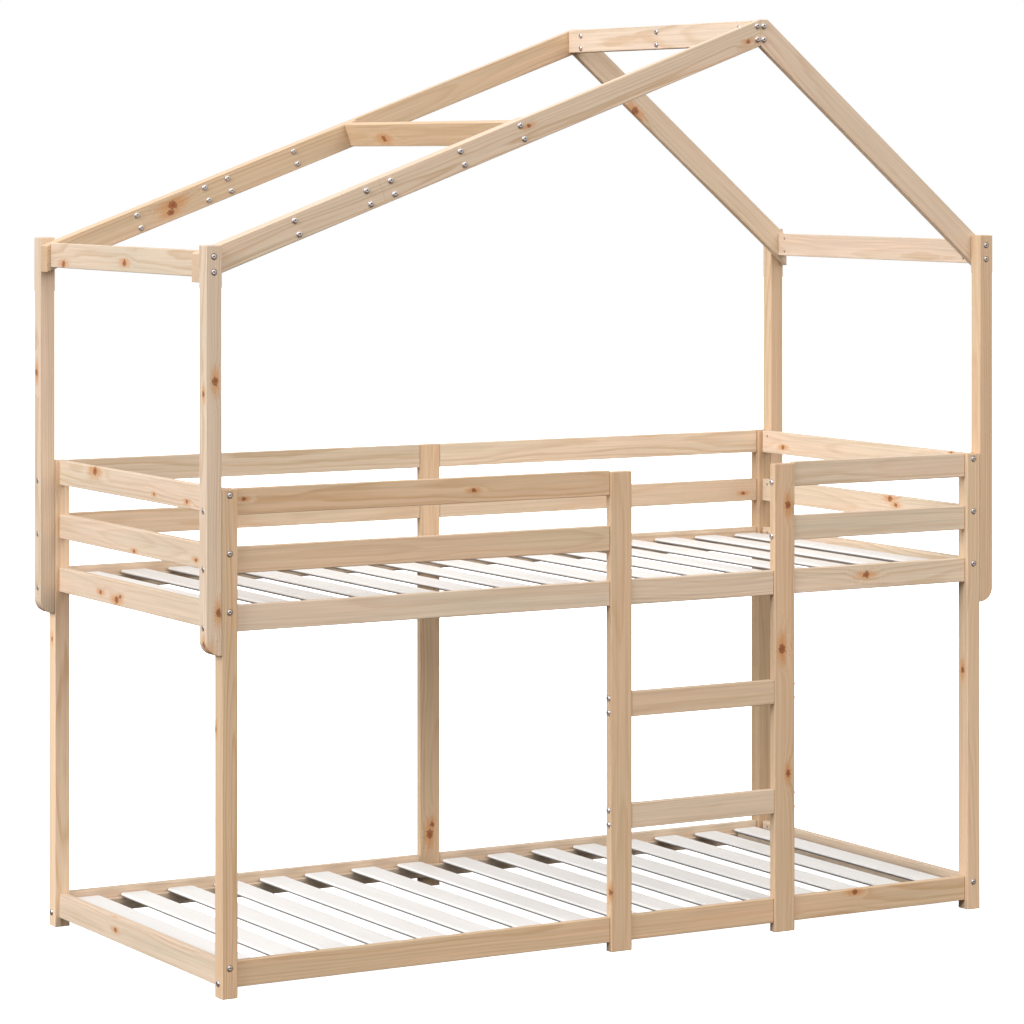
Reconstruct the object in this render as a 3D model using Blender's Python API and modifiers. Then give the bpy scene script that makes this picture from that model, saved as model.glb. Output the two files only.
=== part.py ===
"""Bunk bed with a house-shaped roof frame and a ladder built into its front.

Pine boards and square posts, bolted together. Metres, +Z up. X runs along the bed, Y from the
front (the ladder side, -Y) to the back. The origin is on the floor, under the middle of the bed.
"""
import math

import bmesh
import bpy
from mathutils import Matrix, Vector

# ---- driving dimensions -------------------------------------------------------------------------
BED_LENGTH = 2.056          # over the outer faces of the legs
BED_WIDTH = 0.956           # over the front and back faces of the legs
LEG = 0.038                 # square section of legs and roof posts
BOARD = 0.018               # thickness of rails, guards, ties, ridge boards and purlin
RAIL = 0.058                # height of a rail or guard
RAIL_INSET = 0.010          # rail face behind the face of the leg

LOWER_RAIL_Z = 0.0225       # underside of the lowest rails
UPPER_RAIL_Z = 0.802        # underside of the upper bunk's rails
GUARD_PITCH = 0.128         # from a guard to the next

UPRIGHT_WIDTH = 0.057       # ladder uprights and the back middle post
UPRIGHT_DEPTH = 0.022
UPRIGHT_CLEARANCE = 0.0005  # uprights' inner faces, outside those of the side rails
LADDER_PITCH = 0.456        # centre to centre of the uprights
UPRIGHT_DROP = 0.003        # top of the uprights below the top of the legs
RUNG_COUNT = 2
RUNG_SETBACK = 0.0015       # behind the face of the uprights

SLAT_COUNT = 16
SLAT_WIDTH = 0.070
SLAT_THICK = 0.010
SLAT_END_GAP = 0.009        # from the legs' inner faces to the first and last slat
SLAT_SIDE_GAP = 0.004       # between slat ends and side rails
MIDDLE_PITCH = 0.130        # the slats in the middle lie a little wider
MIDDLE_GAPS = 5
LEDGER_HEIGHT = 0.030
LEDGER_TOP = 0.034          # above the underside of its rail
BATTEN_INSET = 0.005        # of a cross batten from the inner edge of the slat it carries

POST_ABOVE_LEG = 0.534      # top of the roof posts above the top of the legs
POST_BELOW_RAIL = 0.050     # bottom of the roof posts below the upper bunk's rails
POST_FOOT = 0.004           # flat left beside the rounded lower corner of a roof post

EAVES_DROP = 0.0185         # upper corner of a rafter's lower end, below the top of its post
ROOF_RISE = 0.5385          # from that corner to the top of the roof
RIDGE_SETBACK = 0.658       # ridge seam from the outer face of the right roof posts
APEX_FLAT = 0.0215          # level top of the short rafters beside the seam
RAFTER_DEPTH = 0.060
RAFTER_THICK = 0.038        # of both layers of a long rafter; a short one has the outer layer only
TIE_INSET = 0.010           # eaves tie behind the plumb cut
TIE_DROP = 0.012            # top of an eaves tie below the top of the posts
RIDGE_DROP = 0.003          # top of the ridge boards below the apex
PURLIN_SETBACK = 0.8043     # purlin from the outer face of the left roof posts

SPLICE_SETBACK = 0.4453     # joint of the rafters' outer boards from the same face
SPLICE_RUN = 0.8313         # end of the rafters' inner boards from the same face

GAP = 0.0003                # between pieces that touch
ROUNDING = 0.002            # softened edges of the boards
SLAT_ROUNDING = 0.0045

# ---- levels and lines worked out from them ------------------------------------------------------
LEG_X = BED_LENGTH / 2
LEG_Y = BED_WIDTH / 2
LEG_HEIGHT = UPPER_RAIL_Z + 2 * GUARD_PITCH + RAIL      # flush with the top guards
POST_TOP = LEG_HEIGHT + POST_ABOVE_LEG
POST_BOTTOM = UPPER_RAIL_Z - POST_BELOW_RAIL
EAVES_TOP = POST_TOP - EAVES_DROP
RIDGE_TOP = EAVES_TOP + ROOF_RISE
TIE_TOP = POST_TOP - TIE_DROP
POST_X = LEG_X + GAP + LEG                       # outer faces of the roof posts
RAIL_Y = LEG_Y - RAIL_INSET - BOARD / 2          # middle of the side rails
END_X = LEG_X - RAIL_INSET - BOARD / 2           # middle of the end rails
LADDER_XS = (0.0, LADDER_PITCH)
INNER_Y = RAIL_Y - BOARD / 2                     # inner faces of the side rails
UPRIGHT_Y = INNER_Y + UPRIGHT_CLEARANCE + UPRIGHT_DEPTH / 2
BASE_X = LEG_X - LEG                             # a slatted base fits between the legs
RAFTER_FRONT = LEG_Y - LEG - GAP                 # outer face of a rafter, against its posts
RAFTER_INNER = RAFTER_FRONT - RAFTER_THICK
SEAM_X = POST_X - RIDGE_SETBACK
PURLIN_X = -POST_X + PURLIN_SETBACK
SPLICE_X = -POST_X + SPLICE_SETBACK
LEVELS = {
    "lower": LOWER_RAIL_Z,
    "upper": UPPER_RAIL_Z,
    "mid_guard": UPPER_RAIL_Z + GUARD_PITCH,
    "top_guard": UPPER_RAIL_Z + 2 * GUARD_PITCH,
}

PINE = (0.80, 0.62, 0.43)
PINE_PALE = (0.85, 0.72, 0.55)
WHITE = (0.90, 0.88, 0.85)


def clear_scene():
    """Remove the objects that a new scene starts with."""
    for obj in list(bpy.data.objects):
        bpy.data.objects.remove(obj, do_unlink=True)


def new_collection(name):
    """A collection linked to the scene."""
    collection = bpy.data.collections.new(name)
    bpy.context.scene.collection.children.link(collection)
    return collection


def material(name, colour, roughness):
    """A plain Principled material."""
    mat = bpy.data.materials.new(name)
    mat.use_nodes = True
    shader = mat.node_tree.nodes["Principled BSDF"]
    shader.inputs["Base Color"].default_value = (*colour, 1.0)
    shader.inputs["Roughness"].default_value = roughness
    shader.inputs["Metallic"].default_value = 0.0
    return mat


def move_to(obj, collection):
    """Keep an object in one collection only."""
    for old in list(obj.users_collection):
        old.objects.unlink(obj)
    collection.objects.link(obj)


def soften(obj, width, segments=2):
    """Rounded edges."""
    bevel = obj.modifiers.new("Edges", "BEVEL")
    bevel.width = width
    bevel.segments = segments
    bevel.limit_method = "ANGLE"
    return bevel


def block(name, size, centre, mat, collection, rounding=ROUNDING):
    """A straight board: a box of a size about its centre."""
    bpy.ops.mesh.primitive_cube_add(size=1.0, location=centre)
    obj = bpy.context.object
    obj.name = name
    obj.data.name = name
    obj.data.transform(Matrix.Diagonal((*size, 1.0)))
    obj.data.materials.append(mat)
    move_to(obj, collection)
    if rounding:
        soften(obj, rounding)
    return obj


def board_between(name, x_range, y_mid, z_low, mat, collection, depth=BOARD):
    """A rail along X whose ends stop a gap short of what it butts against."""
    x_start, x_end = x_range
    size = (x_end - x_start - 2 * GAP, depth, RAIL)
    return block(name, size, ((x_start + x_end) / 2, y_mid, z_low + RAIL / 2), mat, collection)


def outline_piece(name, outline, y_mid, thick, mat, collection, rounding=ROUNDING):
    """A board cut to an outline in the XZ plane, with its thickness along Y."""
    curve = bpy.data.curves.new(name, "CURVE")
    curve.dimensions = "2D"
    curve.fill_mode = "BOTH"
    curve.extrude = thick / 2
    spline = curve.splines.new("POLY")
    spline.points.add(len(outline) - 1)
    for point, (x, z) in zip(spline.points, outline):
        point.co = (x, z, 0.0, 1.0)
    spline.use_cyclic_u = True
    guide = bpy.data.objects.new(name + "_outline", curve)
    guide.rotation_euler = (math.radians(90), 0.0, 0.0)
    guide.location = (0.0, y_mid, 0.0)
    collection.objects.link(guide)
    bpy.context.view_layer.update()
    depsgraph = bpy.context.evaluated_depsgraph_get()
    mesh = bpy.data.meshes.new_from_object(guide.evaluated_get(depsgraph))
    body = bmesh.new()
    body.from_mesh(mesh)
    bmesh.ops.remove_doubles(body, verts=body.verts, dist=1e-5)
    bmesh.ops.dissolve_limit(body, angle_limit=math.radians(0.5), verts=body.verts, edges=body.edges)
    bmesh.ops.recalc_face_normals(body, faces=body.faces)
    body.to_mesh(mesh)
    body.free()
    obj = bpy.data.objects.new(name, mesh)
    obj.matrix_world = guide.matrix_world
    bpy.data.objects.remove(guide, do_unlink=True)
    mesh.materials.clear()
    mesh.materials.append(mat)
    collection.objects.link(obj)
    if rounding:
        soften(obj, rounding)
    return obj


def join_with(obj, other):
    """Unite another shape with a piece."""
    boolean = obj.modifiers.new("Joint", "BOOLEAN")
    boolean.operation = "UNION"
    boolean.solver = "EXACT"
    boolean.object = other


def hide_guide(obj, collection):
    """A cutter or a guide, left out of the model."""
    move_to(obj, collection)
    obj.hide_render = True
    obj.display_type = "WIRE"


# ---- legs, posts and uprights -------------------------------------------------------------------
def side_name(x_sign, y_sign):
    """front_left and so on."""
    return ("back_" if y_sign > 0 else "front_") + ("right" if x_sign > 0 else "left")


def legs(bed, pine):
    """Four square legs that stand on the floor."""
    for x_sign in (-1, 1):
        for y_sign in (-1, 1):
            centre = (x_sign * (LEG_X - LEG / 2), y_sign * (LEG_Y - LEG / 2), LEG_HEIGHT / 2)
            block("leg_" + side_name(x_sign, y_sign), (LEG, LEG, LEG_HEIGHT), centre, pine, bed)


def post_outline(x_sign):
    """A roof post from the side: its lower outer corner is a quarter circle."""
    inner = x_sign * (LEG_X + GAP)
    outer = x_sign * POST_X
    steps = 10
    radius = LEG - POST_FOOT
    centre = (outer - x_sign * radius, POST_BOTTOM + radius)
    arc = []
    for step in range(steps + 1):
        angle = math.radians(90 * step / steps)
        x = centre[0] + x_sign * radius * math.cos(angle)
        arc.append((x, centre[1] - radius * math.sin(angle)))
    return [(inner, POST_TOP), (outer, POST_TOP), *arc, (inner, POST_BOTTOM)]


def roof_posts(bed, pine):
    """Four posts outside the legs that carry the roof."""
    for x_sign in (-1, 1):
        for y_sign in (-1, 1):
            name = "roof_post_" + side_name(x_sign, y_sign)
            outline_piece(name, post_outline(x_sign), y_sign * (LEG_Y - LEG / 2), LEG, pine, bed)


def uprights(bed, pine):
    """Two ladder uprights in the front and the middle post in the back."""
    height = LEG_HEIGHT - UPRIGHT_DROP
    size = (UPRIGHT_WIDTH, UPRIGHT_DEPTH, height)
    for side, x in zip(("left", "right"), LADDER_XS):
        block(f"ladder_upright_{side}", size, (x, -UPRIGHT_Y, height / 2), pine, bed)
    back = (UPRIGHT_WIDTH, BOARD, LEG_HEIGHT)
    block("back_middle_post", back, (0.0, RAIL_Y, LEG_HEIGHT / 2), pine, bed)


# ---- rails --------------------------------------------------------------------------------------
def front_sections():
    """The X ranges left of the ladder, between its uprights, and right of it."""
    half = UPRIGHT_WIDTH / 2
    left, right = LADDER_XS
    inner_leg = LEG_X - LEG
    return {
        "left": (-inner_leg, left - half),
        "ladder": (left + half, right - half),
        "right": (right + half, inner_leg),
    }


def front_rails(bed, pine):
    """Side rails in three sections and guards in two, so the ladder entry stays open."""
    sections = front_sections()
    for side, x_range in sections.items():
        for level in ("lower", "upper"):
            name = f"front_{level}_rail_{side}"
            board_between(name, x_range, -RAIL_Y, LEVELS[level], pine, bed)
    for side in ("left", "right"):
        for level in ("mid_guard", "top_guard"):
            name = f"front_{level}_{side}"
            board_between(name, sections[side], -RAIL_Y, LEVELS[level], pine, bed)


def rungs(bed, pine):
    """Ladder rungs, evenly spaced between the lower and the upper side rail."""
    pitch = (UPPER_RAIL_Z - LOWER_RAIL_Z) / (RUNG_COUNT + 1)
    y_mid = -(UPRIGHT_Y + UPRIGHT_DEPTH / 2 - RUNG_SETBACK - BOARD / 2)
    for index in range(RUNG_COUNT):
        z_low = LOWER_RAIL_Z + (index + 1) * pitch
        board_between(f"ladder_rung_{index + 1}", front_sections()["ladder"], y_mid, z_low, pine, bed)


def back_rails(bed, pine):
    """Four levels of back rails, each in two sections beside the middle post."""
    half = UPRIGHT_WIDTH / 2
    inner_leg = LEG_X - LEG
    ranges = {"left": (-inner_leg, -half), "right": (half, inner_leg)}
    for level, z_low in LEVELS.items():
        kind = level if "guard" in level else level + "_rail"
        for side, x_range in ranges.items():
            board_between(f"back_{kind}_{side}", x_range, RAIL_Y, z_low, pine, bed)


def end_rails(bed, pine):
    """Four levels of rails across each end."""
    length = 2 * (LEG_Y - LEG - GAP)
    for side, x_sign in (("left", -1), ("right", 1)):
        for level, z_low in LEVELS.items():
            kind = level if "guard" in level else level + "_rail"
            centre = (x_sign * END_X, 0.0, z_low + RAIL / 2)
            block(f"{side}_end_{kind}", (BOARD, length, RAIL), centre, pine, bed)


# ---- slatted bases ------------------------------------------------------------------------------
def slat_centres():
    """Where the slats lie: an even run in the middle, the others share what is left."""
    last = BASE_X - SLAT_END_GAP - SLAT_WIDTH / 2
    middle_end = MIDDLE_PITCH * MIDDLE_GAPS / 2
    outer_count = (SLAT_COUNT - MIDDLE_GAPS - 1) // 2
    outer_pitch = (last - middle_end) / outer_count
    right = [MIDDLE_PITCH * (index + 0.5) for index in range((MIDDLE_GAPS + 1) // 2)]
    right += [middle_end + outer_pitch * (index + 1) for index in range(outer_count)]
    return [-x for x in reversed(right)] + right


def slat_base(level, bed, guides, white):
    """Two ledgers, a cross batten under the outermost slats, and the slats, as one body."""
    top = LEVELS[level] + LEDGER_TOP
    sink = 0.0005
    ledger_y = INNER_Y - GAP - BOARD / 2
    ledger_z = top - LEDGER_HEIGHT / 2
    ledger_size = (2 * (BASE_X - GAP), BOARD, LEDGER_HEIGHT)
    base = block(f"{level}_slat_base", ledger_size, (0.0, -ledger_y, ledger_z), white, bed, 0.0)
    shapes = [block("ledger", ledger_size, (0.0, ledger_y, ledger_z), white, guides, 0.0)]
    centres = slat_centres()
    batten_size = (BOARD, 2 * ledger_y, LEDGER_HEIGHT - 2 * sink)
    batten_shift = SLAT_WIDTH / 2 - BATTEN_INSET - BOARD / 2
    for x in (centres[0] + batten_shift, centres[-1] - batten_shift):
        shapes.append(block("batten", batten_size, (x, 0.0, ledger_z), white, guides, 0.0))
    slat_size = (SLAT_WIDTH, 2 * (INNER_Y - SLAT_SIDE_GAP), SLAT_THICK + sink)
    for x in centres:
        centre = (x, 0.0, top + (SLAT_THICK - sink) / 2)
        shapes.append(block("slat", slat_size, centre, white, guides, SLAT_ROUNDING))
    for shape in shapes:
        join_with(base, shape)
        hide_guide(shape, guides)


# ---- roof ---------------------------------------------------------------------------------------
def slope_line(start, end):
    """Height of the top of a rafter at X, for the line through two points of it."""
    (x_start, z_start), (x_end, z_end) = start, end
    rise = (z_end - z_start) / (x_end - x_start)
    return lambda x: z_start + rise * (x - x_start), rise


def long_rafter_line():
    """The long slope: from the left eaves up to the ridge seam."""
    return slope_line((-POST_X, EAVES_TOP), (SEAM_X, RIDGE_TOP))


def short_rafter_line():
    """The short slope: from the right eaves up to the level top beside the seam."""
    return slope_line((POST_X, EAVES_TOP), (SEAM_X + APEX_FLAT, RIDGE_TOP))


def plumb_depth(rise):
    """The depth of a rafter measured plumb."""
    return RAFTER_DEPTH * math.sqrt(1 + rise * rise)


def square_cut(line, rise, x_top):
    """Both ends of a cut square across a rafter, from a point on its top."""
    along = Vector((1.0, rise)).normalized()
    down = Vector((along.y, -along.x)) * RAFTER_DEPTH
    return (x_top, line(x_top)), (x_top + down.x, line(x_top) + down.y)


def long_rafter(side, y_sign, bed, pine):
    """Two outer boards end to end, and an inner board over the joint up to the purlin."""
    line, rise = long_rafter_line()
    depth = plumb_depth(rise)
    left_end, right_end = -POST_X, SEAM_X - GAP
    slip = GAP / 2 * math.sqrt(1 + rise * rise)
    (top_a, bottom_a) = square_cut(line, rise, SPLICE_X - slip)
    (top_b, bottom_b) = square_cut(line, rise, SPLICE_X + slip)
    (top_c, bottom_c) = square_cut(line, rise, -POST_X + SPLICE_RUN)
    eaves = [(left_end, line(left_end)), (left_end, line(left_end) - depth)]
    upper = [top_b, bottom_b, (right_end, line(right_end) - depth), (right_end, line(right_end))]
    y_outer = y_sign * (RAFTER_FRONT - BOARD / 2)
    outline_piece(f"{side}_long_rafter_lower", eaves + [bottom_a, top_a], y_outer, BOARD, pine, bed)
    outline_piece(f"{side}_long_rafter_upper", upper, y_outer, BOARD, pine, bed)
    inner_thick = RAFTER_THICK - BOARD - GAP
    y_inner = y_sign * (RAFTER_INNER + inner_thick / 2)
    outline_piece(f"{side}_rafter_splice", eaves + [bottom_c, top_c], y_inner, inner_thick, pine, bed)


def short_rafter(side, y_sign, bed, pine):
    """The steep rafter, plumb cut at both ends with a level top beside the seam."""
    line, rise = short_rafter_line()
    depth = plumb_depth(rise)
    y_mid = y_sign * (RAFTER_FRONT - BOARD / 2)
    seam, flat_end = SEAM_X, SEAM_X + APEX_FLAT
    outline = [
        (seam, RIDGE_TOP),
        (seam, line(seam) - depth),
        (POST_X, EAVES_TOP - depth),
        (POST_X, EAVES_TOP),
        (flat_end, RIDGE_TOP),
    ]
    outline_piece(f"{side}_short_rafter", outline, y_mid, BOARD, pine, bed)


def roof_cross_boards(bed, pine):
    """Ridge boards, eaves ties and the purlin, all between the rafters."""
    span = 2 * (RAFTER_INNER - GAP)
    long_span = 2 * (RAFTER_FRONT - BOARD - GAP)
    ridge_z = RIDGE_TOP - RIDGE_DROP - RAIL / 2
    for name, x in (("ridge_board_left", SEAM_X - GAP - BOARD / 2), ("ridge_board_right", SEAM_X + BOARD / 2)):
        block(name, (BOARD, long_span, RAIL), (x, 0.0, ridge_z), pine, bed)
    for side, x_sign, length in (("left", -1, span), ("right", 1, long_span)):
        x = x_sign * (POST_X - TIE_INSET - BOARD / 2)
        block(f"{side}_eaves_tie", (BOARD, length, RAIL), (x, 0.0, TIE_TOP - RAIL / 2), pine, bed)
    line, rise = long_rafter_line()
    along = Vector((1.0, rise)).normalized()
    middle = Vector((PURLIN_X, line(PURLIN_X))) + Vector((along.y, -along.x)) * RAIL / 2
    purlin = block("purlin", (BOARD, span, RAIL), (middle.x, 0.0, middle.y), pine, bed)
    purlin.rotation_euler = (0.0, -math.atan(rise), 0.0)


def main():
    """Build the bed."""
    clear_scene()
    bed = new_collection("bunk_bed")
    guides = new_collection("guides")
    pine = material("pine", PINE, 0.55)
    pale = material("pine_pale", PINE_PALE, 0.55)
    white = material("white_slats", WHITE, 0.45)
    legs(bed, pine)
    roof_posts(bed, pine)
    uprights(bed, pine)
    front_rails(bed, pale)
    rungs(bed, pale)
    back_rails(bed, pale)
    end_rails(bed, pale)
    for level in ("lower", "upper"):
        slat_base(level, bed, guides, white)
    for side, y_sign in (("front", -1), ("back", 1)):
        long_rafter(side, y_sign, bed, pine)
        short_rafter(side, y_sign, bed, pine)
    roof_cross_boards(bed, pale)


main()
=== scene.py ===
"""Looks of a pine bunk bed with a house-shaped roof frame and a ladder built into its front."""
import math
import random

import bmesh
import bpy
from bpy.props import FloatProperty, FloatVectorProperty, IntProperty, PointerProperty
from mathutils import Matrix, Vector


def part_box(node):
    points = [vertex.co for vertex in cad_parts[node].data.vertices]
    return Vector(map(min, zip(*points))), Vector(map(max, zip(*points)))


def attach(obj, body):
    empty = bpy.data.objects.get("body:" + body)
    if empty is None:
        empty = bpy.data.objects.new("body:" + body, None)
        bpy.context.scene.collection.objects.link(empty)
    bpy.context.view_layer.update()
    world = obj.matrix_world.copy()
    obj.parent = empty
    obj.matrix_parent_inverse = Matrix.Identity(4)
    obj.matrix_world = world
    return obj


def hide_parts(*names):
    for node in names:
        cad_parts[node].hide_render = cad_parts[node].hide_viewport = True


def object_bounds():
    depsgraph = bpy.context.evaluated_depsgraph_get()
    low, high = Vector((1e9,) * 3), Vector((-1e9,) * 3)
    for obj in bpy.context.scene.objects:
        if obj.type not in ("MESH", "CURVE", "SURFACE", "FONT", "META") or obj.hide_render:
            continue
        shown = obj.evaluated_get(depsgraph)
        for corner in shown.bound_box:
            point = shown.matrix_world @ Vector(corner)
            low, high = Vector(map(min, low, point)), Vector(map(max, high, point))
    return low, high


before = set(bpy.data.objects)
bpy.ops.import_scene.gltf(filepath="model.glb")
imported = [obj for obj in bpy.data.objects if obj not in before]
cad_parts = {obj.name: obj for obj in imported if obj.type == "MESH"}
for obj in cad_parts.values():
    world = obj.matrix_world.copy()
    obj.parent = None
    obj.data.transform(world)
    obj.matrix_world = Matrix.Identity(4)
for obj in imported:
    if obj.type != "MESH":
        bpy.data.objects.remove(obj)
FRAME_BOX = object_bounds()

bl_info = {
    "name": "Pine bunk bed",
    "version": (1, 0, 0),
    "blender": (4, 5, 0),
    "location": "View3D > Sidebar > Bunk bed",
    "description": "Builds the boards, slats and bolts of a pine bunk bed around its CAD frame",
    "category": "Object",
}

# Knots that show, as points on a board's surface with the knot's radius, all in metres.
KNOTS = {
    "back_rafter_splice": ((-0.737, 0.402, 1.726, 0.011), (-0.742, 0.402, 1.708, 0.008)),
    "left_eaves_tie": ((-1.056, -0.023, 1.601, 0.008), (-1.056, 0.325, 1.590, 0.008)),
    "front_long_rafter": ((-0.230, -0.440, 1.914, 0.005), (0.373, -0.440, 2.116, 0.005)),
    "left_end_top_guard": (
        (-1.018, 0.229, 1.106, 0.010), (-1.018, -0.101, 1.077, 0.004),
        (-1.018, -0.276, 1.073, 0.005)),
    "left_end_mid_guard": ((-1.018, 0.008, 0.938, 0.005), (-1.018, -0.323, 0.948, 0.005)),
    "left_end_upper_rail": (
        (-1.018, 0.197, 0.825, 0.006), (-1.018, 0.106, 0.816, 0.009),
        (-1.018, 0.086, 0.825, 0.005)),
    "roof_post_front_left": (
        (-1.037, -0.478, 0.847, 0.008), (-1.066, -0.463, 0.777, 0.006),
        (-1.066, -0.463, 1.325, 0.006), (-1.045, -0.478, 1.353, 0.008),
        (-1.055, -0.470, 0.752, 0.009)),
    "roof_post_back_left": ((-1.066, 0.462, 1.327, 0.008), (-1.055, 0.470, 0.752, 0.009)),
    "leg_back_left": ((-1.028, 0.459, 0.688, 0.005),),
    "front_top_guard_left": ((-0.970, -0.468, 1.092, 0.004), (-0.390, -0.468, 1.086, 0.005)),
    "purlin": ((-0.262, 0.214, 1.885, 0.010),),
    "back_short_rafter": ((0.593, 0.422, 1.961, 0.010),),
    "ladder_upright_right": (
        (0.465, -0.472, 1.014, 0.008), (0.448, -0.472, 0.673, 0.010),
        (0.465, -0.472, 0.376, 0.007)),
    "right_end_mid_guard": ((1.000, -0.140, 0.980, 0.008), (1.000, -0.165, 0.965, 0.006)),
    "right_end_top_guard": ((1.000, 0.342, 1.077, 0.006), (1.000, -0.398, 1.114, 0.004)),
    "back_mid_guard_right": ((0.946, 0.450, 0.951, 0.005),),
    "front_upper_rail_right": ((0.695, -0.468, 0.835, 0.008),),
    "front_lower_rail_right": ((0.662, -0.468, 0.074, 0.007),),
    "back_middle_post": ((-0.001, 0.450, 0.131, 0.010), (0.006, 0.450, 0.155, 0.006)),
    "leg_front_right": ((0.990, -0.458, 0.585, 0.007),),
    "leg_front_left": ((-1.028, -0.444, 0.589, 0.006),),
    "ladder_upright_left": ((-0.0285, -0.468, 0.139, 0.006),),
    "left_end_lower_rail": ((-1.018, 0.112, 0.050, 0.006), (-1.018, 0.117, 0.084, 0.004)),
}
KNOT_LETTERS = "abcdef"       # a board has one knot for each, seen or hidden

# How warm a board's wood is, from 0, pale, to 1, honey, and how light, by the start of its name;
# the lightness is partly painted shade, as on the back middle post.
TONES_AND_SHADE = {
    "leg_": (1.0, 1.0),
    "leg_back_left": (0.6, 1.22),
    "leg_back_right": (1.2, 0.82),
    "ladder_upright": (1.0, 0.99),
    "ladder_rung_2": (0.6, 0.98),
    # made a little darker all over as painted shade, for the shade that falls below the upper deck
    "back_middle_post": (0.9, 0.96),
    "back_long_rafter": (0.8, 1.0),
    "back_rafter_splice": (0.8, 1.0),
    "back_top_guard_left": (0.2, 0.90),
    "back_top_guard_right": (0.1, 1.04),
    "front_upper_rail_right": (0.1, 1.10),
    "leg_front_right": (0.8, 1.07),
    "purlin": (1.1, 1.0),
    "back_mid_guard": (0.4, 0.96),
    "front_lower_rail": (1.0, 1.0),
    "front_top_guard_left": (1.0, 1.0),
    "front_mid_guard_left": (0.75, 1.0),
    "roof_post_front_right": (0.95, 1.0),
    "roof_post_back_right": (0.9, 1.05),
    "right_end": (0.15, 1.0),
    "right_eaves": (0.0, 1.03),
    "ridge_board": (0.0, 1.03),
}


def linear(code):
    """Linear colour of an sRGB hex value."""
    channels = [int(code[i:i + 2], 16) / 255 for i in (1, 3, 5)]
    return tuple(c / 12.92 if c <= 0.04045 else ((c + 0.055) / 1.055) ** 2.4 for c in channels)


def add(tree, kind, inputs=None, **settings):
    """Add a node, with its settings and what its sockets are set or linked to."""
    node = tree.nodes.new(kind)
    for name, value in settings.items():
        setattr(node, name, value)
    for key, value in (inputs or {}).items():
        if isinstance(value, bpy.types.NodeSocket):
            tree.links.new(value, node.inputs[key])
        else:
            node.inputs[key].default_value = value
    return node


# ---- settings -----------------------------------------------------------------------------------
class PineSettings(bpy.types.PropertyGroup):
    """Colours and grain of the boards."""
    early_wood: FloatVectorProperty(
        name="Early wood", description="Pale wood between the growth rings", subtype="COLOR",
        size=3, min=0, max=1, default=linear("#DAC5AD"))
    late_wood: FloatVectorProperty(
        name="Late wood", description="Darker line at the end of each ring", subtype="COLOR",
        size=3, min=0, max=1, default=linear("#C5A683"))
    knot_wood: FloatVectorProperty(
        name="Knot", description="Heart of a knot", subtype="COLOR",
        size=3, min=0, max=1, default=linear("#96502A"))
    ring: FloatProperty(
        name="Ring", description="Width of a growth ring", unit="LENGTH", default=0.0062,
        min=0.001, max=0.02)
    roughness: FloatProperty(
        name="Roughness", description="Roughness of the clear matt finish", default=0.5,
        min=0.1, max=1)


class SlatSettings(bpy.types.PropertyGroup):
    """The white slats."""
    paint: FloatVectorProperty(
        name="Paint", description="White primer-like paint on the slats", subtype="COLOR",
        size=3, min=0, max=1, default=linear("#EDE8E2"))
    count: IntProperty(name="Slats", description="Slats in each base", default=16, min=2)
    width: FloatProperty(
        name="Width", description="Width of a slat", unit="LENGTH", default=0.070, min=0.02)
    thickness: FloatProperty(
        name="Thickness", description="Thickness of a slat", unit="LENGTH", default=0.010,
        min=0.004)


class BoltSettings(bpy.types.PropertyGroup):
    """Button-head bolts and their barrel nuts."""
    head: FloatProperty(
        name="Head", description="Diameter of a button head", unit="LENGTH", default=0.0145,
        min=0.004)
    height: FloatProperty(
        name="Height", description="Height of a button head", unit="LENGTH", default=0.0042,
        min=0.001)
    socket: FloatProperty(
        name="Socket", description="Width of the hexagon socket", unit="LENGTH", default=0.0045,
        min=0.001)
    barrel: FloatProperty(
        name="Barrel", description="Diameter of a barrel nut's hole", unit="LENGTH", default=0.0085,
        min=0.002)


class StageSettings(bpy.types.PropertyGroup):
    """Floor, lights and camera."""
    floor: FloatVectorProperty(
        name="Floor", description="Colour of the floor", subtype="COLOR", size=3, min=0, max=1,
        default=linear("#F6F6F6"))
    key: FloatProperty(name="Key", description="Strength of the light from the left", default=2.6)
    fill: FloatProperty(
        name="Fill", description="Strength of the light from the front", default=0.97)
    sky: FloatProperty(name="Sky", description="Strength of the light all round", default=0.91)
    lens: FloatProperty(name="Lens", description="Focal length in mm", default=135.81)


# ---- materials ----------------------------------------------------------------------------------
def start_material(name):
    """A new material with its node tree and its Principled shader."""
    mat = bpy.data.materials.new(name)
    mat.use_nodes = True
    return mat, mat.node_tree, mat.node_tree.nodes["Principled BSDF"]


def attribute(tree, name, output="Vector"):
    """What a mesh holds under this name."""
    return add(tree, "ShaderNodeAttribute", attribute_name=name).outputs[output]


def maths(tree, operation, *values):
    """A value worked out from others."""
    return add(tree, "ShaderNodeMath", dict(enumerate(values)), operation=operation).outputs[0]


def vector_maths(tree, operation, *values, output=0):
    """A vector, or its length, worked out from others."""
    node = add(tree, "ShaderNodeVectorMath", dict(enumerate(values)), operation=operation)
    return node.outputs[output]


def ramped(tree, value, low, high, to_low=0.0, to_high=1.0, shape="LINEAR"):
    """A value carried from one range to another and kept inside it."""
    return add(tree, "ShaderNodeMapRange", {"Value": value, "From Min": low, "From Max": high,
                                            "To Min": to_low, "To Max": to_high},
               interpolation_type=shape).outputs[0]


def noise(tree, place, scale, detail, stretch=None, output=0):
    """Noise from 0 to 1, finer along the axes that are stretched more."""
    if stretch:
        place = add(tree, "ShaderNodeMapping", {"Vector": place, "Scale": stretch}).outputs[0]
    inputs = {"Vector": place, "Scale": scale, "Detail": detail}
    return add(tree, "ShaderNodeTexNoise", inputs).outputs[output]


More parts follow.
